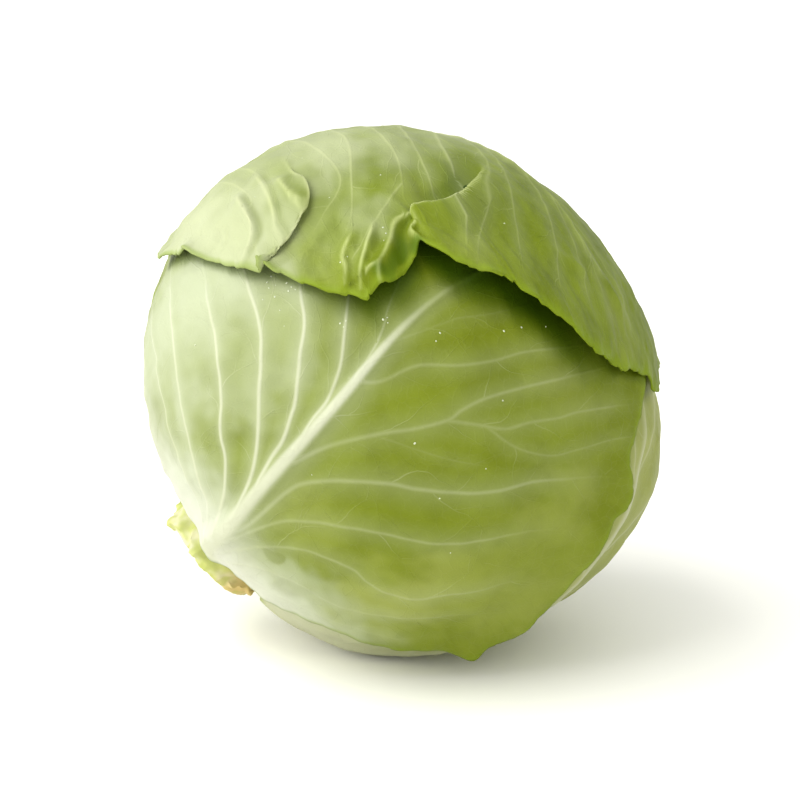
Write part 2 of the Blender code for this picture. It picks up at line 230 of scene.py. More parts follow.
# Ridges and dents of the top leaf: height, width before and after the line (mm), how far
# it has risen where the line starts, how round it is, 2 for round and 1 for sharp, and
# the line's points.
RIDGES = """
    4.6 9 3.4 0.35 1.2: -62,50 -66,45.5 -69.2,42.6 -72.8,40.6 -77.6,40 -82.1,37.8 -85.2,35.5 -86.6,33;
    1.2 1.6 1.6 0.5 1.5: -87.3,31.2 -85.8,33.6 -84.8,35.9;
    1.1 1.4 1.2 0.5 1.5: -84.8,35.9 -87.5,35.4 -89.8,35.7;
    2.4 2.6 1.3 0 1.3: -55.5,10.5 -57.8,11.6 -63.8,14.2 -68.5,15.6 -72,16.5;
    0.9 1.4 1.1 0 1.6: -54,13.4 -56,14.7 -60,16.5 -63.5,18;
    2.8 5 1.4 0 1.25: -54,0.2 -59.7,1.4 -64.6,2.8 -70.8,3.7 -75.2,0.7 -78.5,-2.5;
    -1.5 2.8 3.4 0 2: -60,-5 -66.1,-6.8 -67.3,-11.1 -70,-16;
    1.7 2 1.3 0 1.5: -73,36.5 -76.4,35 -80.8,32.9 -86.1,30.5 -91,29.2;
    -0.9 1.4 1.4 0 2: -75.5,32.5 -79.5,31 -84,29;
    1.2 2 1.3 0 1.5: -76,30 -78.9,28 -82.6,25.9 -86.1,26.1 -90,25;
    -1 1.5 1.5 0 2: -77,37.8 -80.5,36 -83.6,33.6;
    0.9 2.6 1.8 0 1.6: -72,25 -76.5,21 -80,16.5 -84,11;
    1.6 2.4 1.4 0 1.35: -48,4 -58,7.7 -67,9.6 -73.9,9.2 -78,8;
    1.3 1.1 1.1 0.3 1.5: -71,48 -73.4,44.8 -74.6,45 -75.6,46.4 -77,48.4;
    -1.2 0.9 0.9 0.5 2: -72.8,46.6 -74.4,47.8 -75.8,49.4;
    0.9 3 2.2 0 2: -30,96 -35,90 -42,84;
    1 3 2.2 0 2: -12,108 -16,100 -22,92"""


# Pale and dark places on the leaves: side, along, half width, half length (degrees), turn of the half width from
# the side axis (degrees), and how pale, or how dark if below 0. Many dark places paint shade beside the folds and
# under the crest of the top leaf; others are the leaf's own darker patches. Many pale places paint the key light's
# brightness on the side toward it, along with the leaf's own paleness.
TINTS = {
    "front_leaf": """
      8,-56,17,15,0,1 47,-32,17,42,8,0.85 40,4,16,26,0,0.45 -25,-60,19,8,-28,0.95 -24,-47,12,7,-35,0.5
      -42,-50,9,12,20,0.35 25,-36,7,8,0,0.6 22,-12,15,20,20,0.22 17,-33,4,7,20,-0.35 18,-14,6,12,30,-0.3
      -22,-14,12,18,25,-0.35 -36,-4,14,16,30,-0.3 2,-2,8,14,0,-0.2 -10,16,10,18,20,-0.3 -15,15,5,5,0,-0.35
      -16,3,3.5,6,30,-0.35 14,-22,6,6,0,0.28 10,-9,5,7,0,0.28""",
    "top_leaf": """
      -58,-14,26,18,-10,1 -74,2,10,14,0,0.75 -36,-34,34,20,0,0.55 -36,12,15,13,0,0.5 -47,23,13,9,0,0.6
      -60,3,7,7,0,0.55 -70,12.5,6,4.5,0,-0.5 -43,38,10,7,0,0.35 -18,36,18,16,0,0.3 10,30,30,30,0,0.25
      -73,33,5,7,0,0.3 -58,18,10,6,30,0.2 -45,53,8,4,0,-0.25 -31,50,7,5,0,-0.25 -62,34,13,13,0,-0.45
      -50,46,11,9,0,-0.5 -80,41.3,11,3.4,24,-1 -66,-12,6,3,30,-0.5 -72,23,7,4,0,-0.4 -40,56,12,5,10,-0.35
      -62,53,6,4,0,-0.45 -55,61,10,6,30,-0.35 -62,62,14,7,25,-0.3 -45,74,16,9,30,-0.25""",
    "side_leaf": """
      0,-60,24,22,0,0.8 -50,-40,22,26,0,0.7""",
    "back_leaf": """
      0,-60,24,22,0,0.8""",
}

# Places where a leaf is painted a lighter yellow-green, in the same form: painted light on parts that face away
# from the key light, along with the leaf's own lighter green.
LIT_PLACES = {
    "front_leaf": """
      -45,-26,10,16,15,0.8 -38,-38,8,12,20,0.55 -66,-8,8,17,10,0.55 -52,13,9,12,0,0.45 -50,-8,9,10,0,0.3
      -16,-30,10,8,20,0.3 -30,36,10,8,0,0.2""",
    "top_leaf": """
      -18,109,12,9,0,0.4 -72,62,10,5,40,0.25 -60,44,6,6,0,0.2 -84,22,6,8,0,0.25""",
}


def read_points(text):
    return [tuple(float(word) for word in point.split(",")) for point in text.split()]


def read_rows(text):
    """Rows of a table: the numbers before the colon, then the points after it."""
    for row in text.split(";"):
        numbers, points = row.split(":")
        yield [float(word) for word in numbers.split()], read_points(points)


def smooth(value):
    t = np.clip(value, 0.0, 1.0)
    return t * t * (3.0 - 2.0 * t)


def bell(value):
    return np.exp(-(value ** 2))


def turned(angle, middle):
    """Degrees from a middle angle, -180 to 180."""
    return (angle - middle + 180.0) % 360.0 - 180.0


def headings(line, least=0.0):
    tangent = np.gradient(line, axis=0)
    return tangent / (np.linalg.norm(tangent, axis=1)[:, None] + least)


def vein_width(number, start, end, share):
    """Width of one of the veins in millimetres along its line. Number 0 is the midrib."""
    return start + (end - start) * share ** (0.55 if number == 0 else 0.8)


def vein_fade(share):
    return smooth((1.0 - share) / 0.30) * 0.9 + 0.1


def rib_fade(share, depth):
    """How a midrib fades toward the tip of its leaf."""
    return 1.0 - depth * smooth((share - 0.62) / 0.24)


def way_at(from_stem, around):
    a = math.radians(from_stem)
    b = math.radians(around)
    return np.array([math.cos(a), math.sin(a) * math.cos(b), math.sin(a) * math.sin(b)])


def head_radius(way):
    pole = way[:, 0] / POLE_RADIUS
    side_a = way[:, 1] / EQUATOR_RADIUS
    side_b = way[:, 2] / EQUATOR_RADIUS
    radius = 1.0 / np.sqrt(pole ** 2 + side_a ** 2 + side_b ** 2)
    for from_stem, around, width, height in SWELLINGS:
        gap = np.degrees(np.arccos(np.clip(way @ way_at(from_stem, around), -1.0, 1.0)))
        radius = radius + height * bell(gap / width)
    return radius


def to_row(way, radius):
    axes = np.stack([STEM_WAY, FRONT_WAY, TOP_WAY])
    spot = (way @ axes) * radius[:, None]
    spot[:, 2] += CENTRE_HEIGHT
    return spot


def above_floor(spot, floor, blend):
    rise = spot[:, 2] - floor
    eased = floor + (rise + blend) ** 2 / (4.0 * blend)
    level = np.where(rise < -blend, floor, np.where(rise < blend, eased, spot[:, 2]))
    spot[:, 2] = level
    return spot


def outline_table(leaf, seed):
    """Reach of the margin for each tenth of a degree, with small teeth and waves."""
    outline = sorted(read_points(leaf["outline"]))
    angles = np.array([p[0] for p in outline], float)
    reach = np.array([p[1] for p in outline], float)
    count = len(outline)
    fine = np.linspace(-180.0, 180.0, 3601)
    out = np.zeros_like(fine)
    for i in range(count):
        j = (i + 1) % count
        span = (angles[j] - angles[i]) % 360.0
        before = (angles[i] - angles[i - 1]) % 360.0
        after = (angles[(j + 1) % count] - angles[j]) % 360.0
        slope1 = (reach[j] - reach[i - 1]) / (span + before)
        slope2 = (reach[(j + 1) % count] - reach[i]) / (span + after)
        along = (fine - angles[i]) % 360.0
        here = along <= span
        t = along[here] / span
        out[here] = (
            (2 * t ** 3 - 3 * t ** 2 + 1) * reach[i]
            + (t ** 3 - 2 * t ** 2 + t) * span * slope1
            + (3 * t ** 2 - 2 * t ** 3) * reach[j]
            + (t ** 3 - t ** 2) * span * slope2)
    rng = np.random.default_rng(seed)
    waves = np.zeros_like(fine)
    turn = np.radians(fine)
    for cycles in (23, 37, 61):
        phase = rng.uniform(0.0, 6.28)
        waves += np.sin(turn * cycles + phase) * 0.26 * (23.0 / cycles) ** 0.6
    place = -180.0
    while place < 176.0:
        span = rng.uniform(1.3, 4.6)
        height = rng.uniform(0.15, 1.15) * (0.5 + span / 5.0)
        t = (fine - place) / span
        inside = (t >= 0.0) & (t < 1.0)
        if rng.random() < 0.5:
            t = 1.0 - t
        tooth = height * (np.clip(t, 0.0, 1.0) ** 1.4 * smooth((1.0 - t) / 0.22) - 0.3)
        waves += np.where(inside, tooth, 0.0)
        place += span
    return fine, out + waves * leaf["teeth"]


def curve_points(points, step=0.5):
    """Smooth line through given points, as close samples."""
    pts = np.array(points, float)
    first = 2 * pts[0] - pts[1]
    last = 2 * pts[-1] - pts[-2]
    ext = np.vstack([first, pts, last])
    out = []
    for i in range(1, len(ext) - 2):
        p0, p1, p2, p3 = ext[i - 1], ext[i], ext[i + 1], ext[i + 2]
        n = max(2, int(np.linalg.norm(p2 - p1) / step))
        t = np.linspace(0.0, 1.0, n, endpoint=False)[:, None]
        out.append(0.5 * (
            2 * p1 + (p2 - p0) * t + (2 * p0 - 5 * p1 + 4 * p2 - p3) * t ** 2
            + (3 * p1 - p0 - 3 * p2 + p3) * t ** 3))
    out.append(pts[-1:])
    return np.vstack(out)


def line_gap(line, x, y):
    """Distance to a sampled line in millimetres on the head, its side, and how far along."""
    tangent = headings(line)
    gap = np.empty_like(x)
    side = np.empty_like(x)
    share = np.empty_like(x)
    reach = np.hypot(x, y) + 1e-6
    squeeze = np.sin(np.radians(np.minimum(reach, 150.0))) / np.radians(reach)
    for start in range(0, len(x), CHUNK):
        part = slice(start, start + CHUNK)
        dx = x[part, None] - line[None, :, 0]
        dy = y[part, None] - line[None, :, 1]
        best = np.argmin(dx * dx + dy * dy, axis=1)
        rows = np.arange(len(best))
        bx, by = dx[rows, best], dy[rows, best]
        tx, ty = tangent[best, 0], tangent[best, 1]
        along = bx * tx + by * ty
        inner = (best > 0) & (best < len(line) - 1)
        slip = np.where(inner, along, 0.0)
        px, py = bx - slip * tx, by - slip * ty
        ux, uy = x[part] / reach[part], y[part] / reach[part]
        radial = px * ux + py * uy
        around = (py * ux - px * uy) * squeeze[part]
        gap[part] = np.hypot(radial, around) * MM_PER_DEGREE
        side[part] = np.sign(tx * by - ty * bx)
        share[part] = best / (len(line) - 1)
    return gap, side, share


def wander(x, y, seed, size, count=7):
    """Smooth random waves over leaf degrees, about -1 to 1."""
    rng = np.random.default_rng(seed)
    total = np.zeros_like(x)
    for _ in range(count):
        turn = rng.uniform(0.0, 6.283)
        scale = rng.uniform(0.7, 1.5) / size
        phase = rng.uniform(0.0, 6.283)
        total += np.sin((x * math.cos(turn) + y * math.sin(turn)) * scale * 6.283 + phase)
    return total / math.sqrt(count)


class Leaf:
    def __init__(self, name, seed):
        self.name = name
        self.seed = seed
        self.data = LEAVES[name]
        from_stem, around = self.data["middle"]
        a, b = math.radians(from_stem), math.radians(around)
        self.middle = way_at(from_stem, around)
        self.tip_way = np.array([-math.sin(a), math.cos(a) * math.cos(b), math.cos(a) * math.sin(b)])
        self.side_way = np.array([0.0, -math.sin(b), math.cos(b)])
        self.angles, self.reach = outline_table(self.data, seed)
        self.lifts = read_points(self.data["lifts"])
        self.lines = [(*numbers, curve_points(points)) for numbers, points in read_rows(VEINS[name])]

    def edge(self, angle):
        return np.interp(turned(angle, 0.0), self.angles, self.reach)

    def way(self, x, y):
        """Directions from the middle of the head for leaf degrees."""
        angle = np.arctan2(x, y)
        reach = np.radians(np.hypot(x, y))
        out = np.sin(angle)[:, None] * self.side_way + np.cos(angle)[:, None] * self.tip_way
        return np.cos(reach)[:, None] * self.middle + np.sin(reach)[:, None] * out

    def veins(self, x, y):
        """Broad relief of the veins in metres, how much each point lies on one of them, and the soft band round
        it.
        """
        relief = np.zeros_like(x)
        tone = np.zeros_like(x)
        broad = np.zeros_like(x)
        for number, (w0, w1, strength, line) in enumerate(self.lines):
            gap, side, share = line_gap(line, x, y)
            width = vein_width(number, w0, w1, share)
            if number == 0:
                # the midrib's ridge and bright core lean toward the key light; the core's brightness there is
                # partly painted highlight
                aside = gap * side * RIB_SIDE - 0.18 * width
                body = 0.00034 * width * np.exp(-((aside / (width * 0.70)) ** 2) ** 1.2)
                core = rib_fade(share, 0.70) * np.exp(-((aside / (width * 0.52)) ** 2) ** 1.3)
                band = rib_fade(share, 0.4) * bell(aside / (width * 1.9 + 0.9))
            else:
                weight = strength * vein_fade(share)
                body = 0.00016 * width * weight * bell(gap / (width * 1.5 + 0.6))
                core = 0.34 * weight * bell(gap / (width + 0.6))
                band = 0.85 * weight * bell(gap / (width * 2.4 + 1.5))
            relief = np.maximum(relief, body)
            tone = np.maximum(tone, core)
            broad = np.maximum(broad, band)
        return relief, tone, broad

    def folds(self, x, y):
        """Pleats and ridges of the top leaf: moved points, height, painted highlights along the fold edges and
        crests, and painted shade beside them.
        """
        rise = np.zeros_like(x)
        crease_highlight = np.zeros_like(x)
        shade = np.zeros_like(x)
        if self.name != "top_leaf":
            return x, y, rise, crease_highlight, shade
        new_x, new_y = x.copy(), y.copy()
        for (span, overlap, drop, lift, upper, open_rate, close), points in read_rows(PLEATS):
            line = curve_points(points, 0.35)
            gap, side, share = line_gap(line, x, y)
            offset = -gap * side * upper
            amount = smooth(share * open_rate)
            t = np.clip(offset / span, -1.0, 1.0)
            folded = amount * (1.0 - smooth((share - close + 0.07) / 0.14))
            shift = -overlap * folded * np.sin(math.pi * t) * (np.abs(offset) < span) * upper
            step = 0.5 * (1.0 + np.sin(math.pi * t / 2.0))
            under = -drop * bell((offset + 2.0) / (span * 0.93))
            over = lift * bell((offset - 2.0) / (span * 1.2))
            rise += 0.001 * amount * (under * amount * (1.0 - step) + over * step)
            lead = span / math.pi * math.acos(min(1.0, span / (overlap * math.pi)))
            # painted highlight along the fold's edge
            crease_highlight = np.maximum(crease_highlight, folded * bell((offset - lead - 0.25) / 0.80))
            # painted shadow on the lower layer just beyond the fold's edge
            dim = 0.62 * folded * (overlap / 5.4) ** 1.5
            if close < 1.0:
                dim = dim * (1.0 - 0.85 * smooth((share - 0.40) / 0.25))
            shade = np.maximum(shade, dim * bell((offset + span - 0.3) / (0.09 * overlap * overlap)))
            tangent = headings(line)
            index = np.clip((share * (len(line) - 1)).astype(int), 0, len(line) - 1)
            new_x += tangent[index, 1] * shift / MM_PER_DEGREE
            new_y -= tangent[index, 0] * shift / MM_PER_DEGREE
        for (height, before, after, start, power), points in read_rows(RIDGES):
            line = curve_points(points, 0.35)
            gap, side, share = line_gap(line, x, y)
            offset = -gap * side
            wide = np.where(offset < 0.0, before, after)
            body = np.exp(-((np.hypot(offset, 0.25) / wide) ** power))
            grow = smooth(share * 4.0 + start) * (1.0 - 0.5 * smooth((share - 0.6) / 0.4))
            rise += 0.001 * height * body * grow
            if height > 1.0:
                # painted highlight along the ridge's crest
                crease_highlight = np.maximum(crease_highlight, 0.75 * grow * bell((offset + 0.2) / 0.75))
                # painted shade on each ridge's side away from the key light
                shade = np.maximum(shade, 0.50 * grow * bell((offset - 0.7) / (after * 0.7) - 1.0))
        return new_x, new_y, rise, crease_highlight, shade

    def lift(self, angle, reach, edge):
        total = np.zeros_like(angle)
        for lift_angle, half_width, inward, height in self.lifts:
            inner = smooth((reach - edge + inward) / inward) ** 1.5
            total += height * bell(turned(angle, lift_angle) / half_width) * inner
        for curl_angle, half_width, inward, height in read_points(CURLS.get(self.name, "")):
            inner = np.clip((reach - edge + inward) / inward, 0.0, 1.0) ** 2
            total += height * bell(turned(angle, curl_angle) / half_width) * inner
        ripple = smooth((reach - edge + 7.0) / 7.0)
        wave = np.sin(np.radians(angle) * 31.0 + self.seed) + np.sin(np.radians(angle) * 53.0)
        total += 0.00022 * ripple * (wave + 1.0) * self.data["teeth"]
        return total

    def surface(self, x, y, raised=0.0):
        """Points of the outer face for leaf degrees, with all relief."""
        angle = np.degrees(np.arctan2(x, y))
        reach = np.hypot(x, y)
        edge = self.edge(angle)
        height = np.full_like(x, -self.data["layer"] * LAYER_STEP)
        height += self.lift(angle, reach, edge)
        relief, tone, broad = self.veins(x, y)
        height += relief
        height += 0.00030 * wander(x, y, self.seed + 5, 17.0)
        height += 0.00012 * wander(x, y, self.seed + 6, 6.5)
        height -= 0.00035 * (1.0 - broad) * smooth((85.0 - np.abs(y + 10.0)) / 60.0)
        new_x, new_y, rise, crease_highlight, _ = self.folds(x, y)
        height += rise + raised
        # painted highlights along the fold edges and crests join the rib tone
        tone = np.maximum(tone, 0.95 * crease_highlight)
        way = self.way(new_x, new_y)
        spot = to_row(way, head_radius(way) + height)
        floor = self.data["floor"]
        blend = FLOOR_BLEND if floor > 0.0 else 0.1 * FLOOR_BLEND
        return above_floor(spot, floor, blend), tone, broad


def cover_shade(leaf, x, y):
    """Painted shade for a point of a lower leaf near the top leaf: strong in the hollow under the top leaf's
    lifted margin, and lighter everywhere under the top leaf and just outside its margin.
    """
    top = leaves.get("top_leaf")
    if leaf.name == "top_leaf" or top is None:
        return np.zeros_like(x)
    way = leaf.way(x, y)
    far = np.degrees(np.arccos(np.clip(way @ top.middle, -1.0, 1.0)))
    angle = np.degrees(np.arctan2(way @ top.side_way, way @ top.tip_way))
    edge = top.edge(angle)
    raised = np.zeros_like(x)
    for lift_angle, half_width, _, height in top.lifts[:2]:
        raised += height * bell(turned(angle, lift_angle) / half_width)
    raised += 0.0058 * bell((angle + 68.0) / 13.0)
    under = edge - far
    dark_and_shade = smooth(under * 0.085 + 0.80) * np.clip(raised / 0.0070, 0.0, 1.0)
    thin = 0.45 * smooth(under * 0.30 + 1.0)
    return np.maximum(dark_and_shade, thin)


def tints(leaf, x, y):
    """How light, how dark and how yellow-green each point is, from the listed soft spots. The light spots partly
    paint the key light on the side toward it, the dark ones partly paint shade beside the folds, the crest and the
    ribs, and the yellow-green ones paint light on parts facing away from the key light along with the leaf's own
    lighter green.
    """
    pale_and_lit_side = np.zeros_like(x)
    dark_and_shade = np.zeros_like(x)
    warp_x = x + 2.2 * wander(x, y, leaf.seed + 21, 15.0) + 0.9 * wander(x, y, leaf.seed + 22, 6.0)
    warp_y = y + 2.2 * wander(x, y, leaf.seed + 23, 15.0) + 0.9 * wander(x, y, leaf.seed + 24, 6.0)
    lit = np.zeros_like(x)
    rows = [(row, False) for row in read_points(TINTS[leaf.name])]
    rows += [(row, True) for row in read_points(LIT_PLACES.get(leaf.name, ""))]
    for (side, along, wide, long, turn, amount), sunny in rows:
        c, s = math.cos(math.radians(turn)), math.sin(math.radians(turn))
        dx, dy = warp_x - side, warp_y - along
        gap = ((dx * c + dy * s) / wide) ** 2 + ((dy * c - dx * s) / long) ** 2
        spot = np.exp(-(gap ** 1.3) * 0.8)
        if sunny:
            lit = 1.0 - (1.0 - lit) * (1.0 - amount * spot)
        elif amount > 0.0:
            pale_and_lit_side = 1.0 - (1.0 - pale_and_lit_side) * (1.0 - amount * spot)
        else:
            dark_and_shade = 1.0 - (1.0 - dark_and_shade) * (1.0 + amount * spot)
    if leaf.name == "front_leaf":
        flat = (x + 14.9) * 0.84 - (y + 42.6) * 0.54
        below = (x + 14.9) * 0.54 + (y + 42.6) * 0.84
        half = smooth((3.6 - np.abs(flat)) / 0.8) * smooth((0.1 - below) / 0.4)
        half *= smooth((1.0 - (flat / 3.7) ** 2 - (below / 4.8) ** 2) / 0.35)
        dark_and_shade = np.maximum(dark_and_shade, 0.48 * half)
        pale_and_lit_side = pale_and_lit_side * (1.0 - 0.6 * half)
        w0, w1, _, line = leaf.lines[0]
        gap, side, share = line_gap(line, x, y)
        width = vein_width(0, w0, w1, share)
        # painted shade along the midrib's flank away from the key light
        rib_flank_shade = bell((gap * side * RIB_SIDE + 0.95 * width) / (0.45 * width + 0.5))
        rib_flank_shade *= smooth(share * 12.0) * (1.0 - 0.6 * share)
        dark_and_shade = np.maximum(dark_and_shade, 0.42 * rib_flank_shade)
        pale_and_lit_side = pale_and_lit_side * (1.0 - 0.45 * rib_flank_shade)
        for w0, w1, strength, line in leaf.lines[1:]:
            gap, side, share = line_gap(line, x, y)
            width = vein_width(1, w0, w1, share)
            # painted shade beside each of the side veins on the half of the leaf toward the key light, on their
            # side away from it
            shade = bell((gap * side - 1.7 * width - 0.3) / (1.3 * width + 0.9))
            shade *= strength * smooth((share - 0.10) * 5.0) * (1.0 - 0.7 * share ** 2) * smooth((x + 14.0) / 16.0)
            pale_and_lit_side = pale_and_lit_side * (1.0 - 0.22 * shade)
            dark_and_shade = np.maximum(dark_and_shade, 0.16 * shade)
    if leaf.name == "top_leaf":
        # painted shade beside the pleats and ridges
        shade = leaf.folds(x, y)[4]
        dark_and_shade = 1.0 - (1.0 - dark_and_shade) * (1.0 - 0.8 * shade)
        pale_and_lit_side = pale_and_lit_side * (1.0 - 0.75 * shade)
    return pale_and_lit_side, dark_and_shade, lit


def root_share(x, y):
    """How far the whitish leaf base reaches, 1 at the stem."""
    return smooth((-y - 36.0 - 0.16 * np.abs(x)) / 35.0)


def set_floats(mesh, name, values):
    layer = mesh.attributes.new(name, "FLOAT", "POINT")
    layer.data.foreach_set("value", np.asarray(values, np.float32))


def paint_leaf(mesh, leaf, x, y, tone, broad, rim):
    """Stores what the leaf material reads: tones of each point, and its place on the leaf."""
    pale_and_lit_side, dark_and_shade, lit = tints(leaf, x, y)
    tones = {"vein": tone, "broad": broad, "rim": rim, "root": root_share(x, y),
             "painted_cover_shade": cover_shade(leaf, x, y), "pale_and_lit_side": pale_and_lit_side, "dark_and_shade": dark_and_shade, "lit": lit}
    for name, values in tones.items():
        set_floats(mesh, name, values)
    place = np.stack([x * MM_PER_DEGREE, y * MM_PER_DEGREE, np.zeros_like(x)], axis=1)
    layer = mesh.attributes.new("leafmap", "FLOAT_VECTOR", "POINT")
    layer.data.foreach_set("vector", place.astype(np.float32).ravel())


def add_object(name, data):
    thing = bpy.data.objects.new(name, data)
    bpy.context.scene.collection.objects.link(thing)
    return thing


def read_vectors(items, label):
    """A vector of each vertex or face of a mesh, as rows."""
    flat = np.empty(len(items) * 3, np.float32)
    items.foreach_get(label, flat)
    return flat.reshape(-1, 3).astype(float)


def leaf_sheet(leaf):
    """Fine sheet of a leaf as a mesh object."""
    cells = leaf.data["cells"]
    bm = bmesh.new()
    bmesh.ops.create_grid(bm, x_segments=cells, y_segments=cells, size=1.0)
    mesh = bpy.data.meshes.new(leaf.name + "_fine")
    bm.to_mesh(mesh)
    bm.free()
    u, v, _ = read_vectors(mesh.vertices, "co").T
    wide = np.abs(u) > np.abs(v)
    safe_u = np.where(np.abs(u) < 1e-9, 1e-9, u)
    safe_v = np.where(np.abs(v) < 1e-9, 1e-9, v)
    radius = np.where(wide, u, v)
    turn = np.where(wide, math.pi / 4 * (v / safe_u), math.pi / 2 - math.pi / 4 * (u / safe_v))
    du, dv = radius * np.cos(turn), radius * np.sin(turn)
    angle = np.degrees(np.arctan2(du, dv))
    reach = np.hypot(du, dv) * leaf.edge(angle)
    x = reach * np.sin(np.radians(angle))
    y = reach * np.cos(np.radians(angle))
    spot, tone, broad = leaf.surface(x, y)
    mesh.vertices.foreach_set("co", spot.astype(np.float32).ravel())
    rim = smooth((np.hypot(du, dv) - 0.97) / 0.028)
    paint_leaf(mesh, leaf, x, y, tone, broad, rim)
    mesh.update()
    mesh.shade_smooth()
    thing = add_object(leaf.name + "_fine", mesh)
    centre = np.array([0.0, 0.0, CENTRE_HEIGHT])
    face = mesh.polygons[len(mesh.polygons) // 2]
    if np.dot(np.array(face.normal), np.array(face.center) - centre) < 0.0:
        mesh.flip_normals()
    shell = thing.modifiers.new("thickness", "SOLIDIFY")
    shell.thickness = LEAF_THICKNESS * 0.85
    shell.offset = -1.0
    return thing


def small_veins(leaf, seed):
    """Paths of the thin branching veins, in leaf degrees, with a width and a strength."""
    rng = random.Random(seed)
    everything = np.vstack([line for _, _, _, line in leaf.lines])
    paths = []

    def grow(start, heading, length, width, strength, depth):
        point = np.array(start, float)
        path = [point.copy()]
        bend = rng.uniform(-0.5, 0.5)
        steps = int(length / 0.7)
        for i in range(steps):
            heading += bend * 0.06 + rng.gauss(0.0, 0.13)
            point = point + 0.7 * np.array([math.cos(heading), math.sin(heading)])
            angle = math.degrees(math.atan2(point[0], point[1]))
            if np.hypot(point[0], point[1]) > float(leaf.edge(np.array([angle]))[0]) - 1.0:
                break
            path.append(point.copy())
            if i > 5 and np.min(np.abs(everything - point).sum(axis=1)) < 0.8:
                break
            if depth > 0 and i > 3 and rng.random() < 0.07:
                turn = rng.choice((-1.0, 1.0)) * rng.uniform(0.5, 1.0)
                shorter = length * rng.uniform(0.35, 0.6)
                grow(point, heading + turn, shorter, width * 0.7, strength * 0.75, depth - 1)
        if len(path) > 4:
            paths.append((np.array(path), width, strength))

    for number, (_, _, vein_strength, line) in enumerate(leaf.lines):
        spacing = 16 if number else 40
        position = rng.randint(10, 22)
        side = rng.choice((-1, 1))
        while position < len(line) - 6:
            tangent = line[min(position + 2, len(line) - 1)] - line[position - 2]
            heading = math.atan2(tangent[1], tangent[0]) + side * rng.uniform(0.5, 0.9)
            strength = rng.uniform(0.16, 0.52) * (0.5 + 0.5 * vein_strength)
            grow(line[position], heading, rng.uniform(9.0, 24.0), rng.uniform(0.30, 0.50), strength, 2)
            side = -side
            position += rng.randint(spacing // 2, spacing + 10)
    return paths


STRIP = ((-1.0, -0.25, 0.0), (-0.62, 0.12, 0.22), (-0.28, 0.75, 0.78), (0.0, 1.0, 1.0),
         (0.28, 0.75, 0.78), (0.62, 0.12, 0.22), (1.0, -0.25, 0.0))


def vein_strips(leaf, paths):
    """Low raised strips along the cores of all the veins, in one mesh."""
    runs = []
    for number, (w0, w1, strength, line) in enumerate(leaf.lines):
        share = np.linspace(0.0, 1.0, len(line))
        width = vein_width(number, w0, w1, share)
        half = np.minimum(0.92 * width, 1.9) / MM_PER_DEGREE
        height = 0.00009 * np.minimum(width, 1.6) * (0.35 + 0.65 * strength)
        height = height * smooth((1.0 - share) / 0.06) - 0.00005 * (share > 0.97)
        bright = (0.9 if number == 0 else 0.82 * strength) * vein_fade(share)
        bright = bright * smooth((1.0 - share) / 0.10)
        if number == 0:
            bright = bright * rib_fade(share, 0.70)
            keep = width < 2.6
            line, half, height, bright = line[keep], half[keep], height[keep], bright[keep]
            height = height * smooth(np.linspace(0.0, 1.0, len(height)) * 8.0) - 0.00002
        runs.append((line, half, height, bright))
    for path, width, strength in paths:
        share = np.linspace(0.0, 1.0, len(path))
        half = width * (1.0 - 0.6 * share) * 1.25 / MM_PER_DEGREE
        height = 0.00007 * smooth((1.0 - share) / 0.15) - 0.00003 * (share > 0.95)
        runs.append((path, half, height, strength * (1.0 - share ** 2)))
    trimmed = []
    for path, half, height, bright in runs:
        edge = leaf.edge(np.degrees(np.arctan2(path[:, 0], path[:, 1])))
        inside = np.hypot(path[:, 0], path[:, 1]) < edge - 1.2
        inside[: len(inside) // 3] = True
        stop = len(inside) if inside.all() else int(np.argmin(inside))
        if stop > 4:
            trimmed.append((path[:stop], half[:stop], height[:stop], bright[:stop]))
    columns = len(STRIP)
    xs, ys, ups, tones, quads = [], [], [], [], []
    total = 0
    for path, half, height, bright in trimmed:
        n = len(path)
        tangent = headings(path, 1e-9)
        normal = np.stack([-tangent[:, 1], tangent[:, 0]], axis=1)
        for offset, up, weight in STRIP:
            spot = path + normal * (half * offset)[:, None]
            xs.append(spot[:, 0])
            ys.append(spot[:, 1])
            ups.append(height * up - 0.00003 * (weight == 0.0))
            tones.append(weight * bright)
        steps = np.arange(n - 1)
        for column in range(columns - 1):
            a = total + column * n + steps
            c = a + n
            quads.append(np.stack([a, c, c + 1, a + 1], axis=1))
        total += columns * n
    x, y = np.concatenate(xs), np.concatenate(ys)
    spot, base_tone, broad = leaf.surface(x, y, np.concatenate(ups))
    mesh = bpy.data.meshes.new(leaf.name + "_small_veins")
    quads = np.concatenate(quads).astype(np.int32)
    mesh.vertices.add(len(x))
    mesh.vertices.foreach_set("co", spot.astype(np.float32).ravel())
    mesh.loops.add(quads.size)
    mesh.polygons.add(len(quads))
    mesh.loops.foreach_set("vertex_index", quads.ravel())
    mesh.polygons.foreach_set("loop_start", np.arange(0, quads.size, 4, dtype=np.int32))
    mesh.update(calc_edges=True)
    mesh.validate()
    tone = np.maximum(base_tone, np.concatenate(tones))
    paint_leaf(mesh, leaf, x, y, tone, broad, np.zeros(len(x)))
    mesh.shade_smooth()
    thing = add_object(leaf.name + "_small_veins", mesh)
    outward = read_vectors(mesh.polygons, "center") - np.array([0.0, 0.0, CENTRE_HEIGHT])
    if np.sum(read_vectors(mesh.polygons, "normal") * outward) < 0.0:
        mesh.flip_normals()
    return thing


